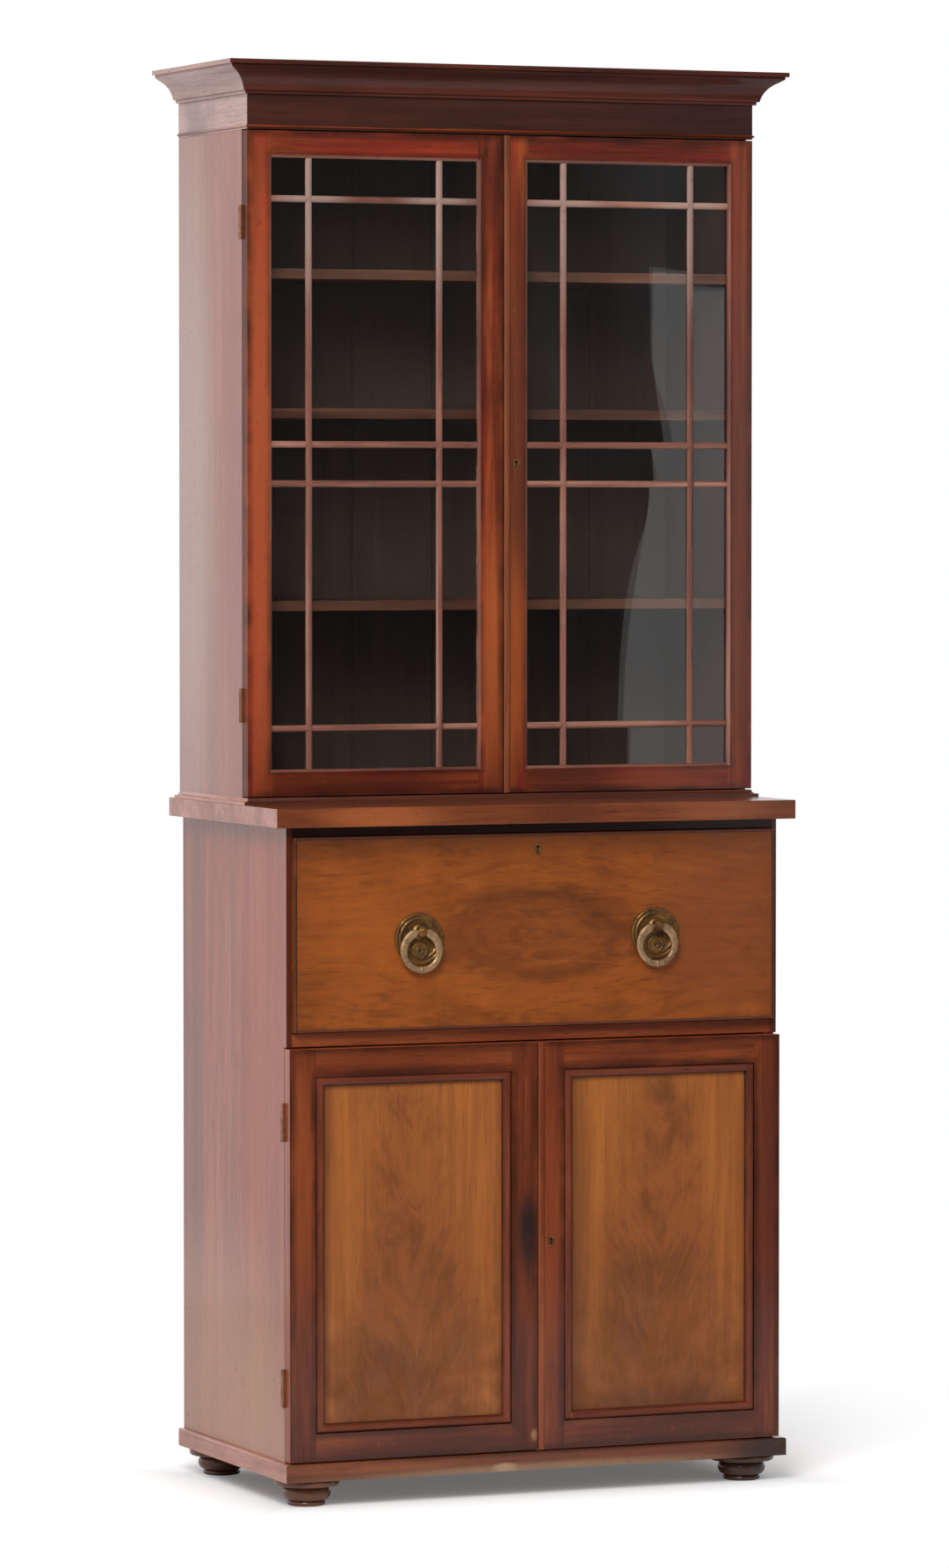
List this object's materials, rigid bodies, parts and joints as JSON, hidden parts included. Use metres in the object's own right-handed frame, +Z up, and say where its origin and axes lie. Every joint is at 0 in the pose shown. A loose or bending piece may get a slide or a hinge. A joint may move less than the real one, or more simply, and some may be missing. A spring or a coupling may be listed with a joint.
{
  "type": "secretaire bookcase",
  "caption": "tall mahogany bookcase with barred glass doors over a fall-front desk drawer and a panelled cupboard on bun feet",
  "frame": {"origin": "on the floor, midway across the width and the overall depth", "axes": "+Z up, +X to the right along the front, the doors face -Y"},
  "size_m": [0.96, 0.4952, 2.258],
  "materials": {
    "mahogany": "French polished red-brown mahogany, worn at the edges",
    "figured_veneer": "flame-figured golden brown veneer under polish",
    "dark_moulding": "dark stained bead, polished",
    "lining_wood": "unpolished pale secondary wood",
    "aged_brass": "aged lacquered brass, dark in the hollows",
    "window_glass": "old clear sheet glass, slightly wavy",
    "desk_leather": "dark green tooled leather"
  },
  "bodies": {
    "cabinet": {"hinge_carcass_leaves": "aged_brass", "cupboard_sides": "mahogany", "cupboard_floor": "mahogany", "cupboard_back": "lining_wood", "drawer_divider": "mahogany", "drawer_rail": "mahogany", "top_board": "mahogany", "cupboard_shelf": "mahogany", "plinth": "mahogany", "bun_feet": "mahogany", "foot_blocks": "lining_wood", "bookcase_sides": "mahogany", "bookcase_floor": "mahogany", "bookcase_top": "mahogany", "bookcase_back": "lining_wood", "lower_shelf": "mahogany", "middle_shelf": "mahogany", "upper_shelf": "mahogany", "base_moulding": "mahogany", "frieze": "mahogany", "cornice": "mahogany", "dust_board": "lining_wood"},
    "left_glazed_door": {"left_glazed_door_frame": "mahogany", "left_glazing_bars": "mahogany", "left_panes": "window_glass", "left_glazed_hinge_leaves": "aged_brass"},
    "right_glazed_door": {"right_glazed_door_frame": "mahogany", "right_glazing_bars": "mahogany", "right_panes": "window_glass", "right_glazed_hinge_leaves": "aged_brass", "glazed_meeting_bead": "mahogany", "glazed_lock": "aged_brass"},
    "glazed_bolt": {"glazed_lock_bolt": "aged_brass"},
    "left_cupboard_door": {"left_cupboard_door_frame": "mahogany", "left_cupboard_panel": "figured_veneer", "left_panel_moulding": "dark_moulding", "left_cupboard_hinge_leaves": "aged_brass"},
    "right_cupboard_door": {"right_cupboard_door_frame": "mahogany", "right_cupboard_panel": "figured_veneer", "right_panel_moulding": "dark_moulding", "right_cupboard_hinge_leaves": "aged_brass", "cupboard_meeting_bead": "mahogany", "cupboard_lock": "aged_brass"},
    "cupboard_bolt": {"cupboard_lock_bolt": "aged_brass"},
    "desk_drawer": {"drawer_sides": "lining_wood", "drawer_bottom": "lining_wood", "drawer_back": "lining_wood", "pigeonhole_boards": "figured_veneer", "fall_pivots": "aged_brass"},
    "left_small_drawer": {"left_letter_drawer": "figured_veneer"},
    "right_small_drawer": {"right_letter_drawer": "figured_veneer"},
    "fall": {"fall_front": "figured_veneer", "writing_leather": "desk_leather", "fall_cock_bead": "dark_moulding", "fall_lock": "aged_brass", "quadrant_stays": "aged_brass", "handle_plates": "aged_brass"},
    "fall_bolt": {"fall_lock_bolt": "aged_brass"},
    "left_handle": {"left_ring": "aged_brass"},
    "right_handle": {"right_ring": "aged_brass"}
  },
  "joints": [
    {"name": "left_glazed_door_swing", "type": "hinge", "parent": "cabinet", "child": "left_glazed_door", "pos_m": [-0.4383, -0.06515, 1.628], "axis": [0, 0, -1], "range_deg": [0, 165]},
    {"name": "right_glazed_door_swing", "type": "hinge", "parent": "cabinet", "child": "right_glazed_door", "pos_m": [0.4383, -0.06515, 1.628], "axis": [0, 0, 1], "range_deg": [0, 165]},
    {"name": "left_cupboard_door_swing", "type": "hinge", "parent": "cabinet", "child": "left_cupboard_door", "pos_m": [-0.4233, -0.20615, 0.395], "axis": [0, 0, -1], "range_deg": [0, 165]},
    {"name": "right_cupboard_door_swing", "type": "hinge", "parent": "cabinet", "child": "right_cupboard_door", "pos_m": [0.4233, -0.20615, 0.395], "axis": [0, 0, 1], "range_deg": [0, 165]},
    {"name": "desk_drawer_slide", "type": "slide", "parent": "cabinet", "child": "desk_drawer", "axis": [0, -1, 0], "range_m": [0, 0.3]},
    {"name": "fall_hinge", "type": "hinge", "parent": "desk_drawer", "child": "fall", "pos_m": [0, -0.2186, 0.7475], "axis": [1, 0, 0], "range_deg": [0, 90]},
    {"name": "left_small_drawer_slide", "type": "slide", "parent": "desk_drawer", "child": "left_small_drawer", "axis": [0, -1, 0], "range_m": [0, 0.15]},
    {"name": "right_small_drawer_slide", "type": "slide", "parent": "desk_drawer", "child": "right_small_drawer", "axis": [0, -1, 0], "range_m": [0, 0.15]},
    {"name": "left_ring_swing", "type": "hinge", "parent": "fall", "child": "left_handle", "pos_m": [-0.202, -0.2381, 0.897], "axis": [-1, 0, 0], "range_deg": [0, 100]},
    {"name": "right_ring_swing", "type": "hinge", "parent": "fall", "child": "right_handle", "pos_m": [0.202, -0.2381, 0.897], "axis": [-1, 0, 0], "range_deg": [0, 100]},
    {"name": "glazed_bolt_throw", "type": "slide", "parent": "right_glazed_door", "child": "glazed_bolt", "axis": [-1, 0, 0], "range_m": [0, 0.007]},
    {"name": "cupboard_bolt_throw", "type": "slide", "parent": "right_cupboard_door", "child": "cupboard_bolt", "axis": [-1, 0, 0], "range_m": [0, 0.007]},
    {"name": "fall_bolt_throw", "type": "slide", "parent": "fall", "child": "fall_bolt", "axis": [0, 0, 1], "range_m": [0, 0.007]}
  ]
}
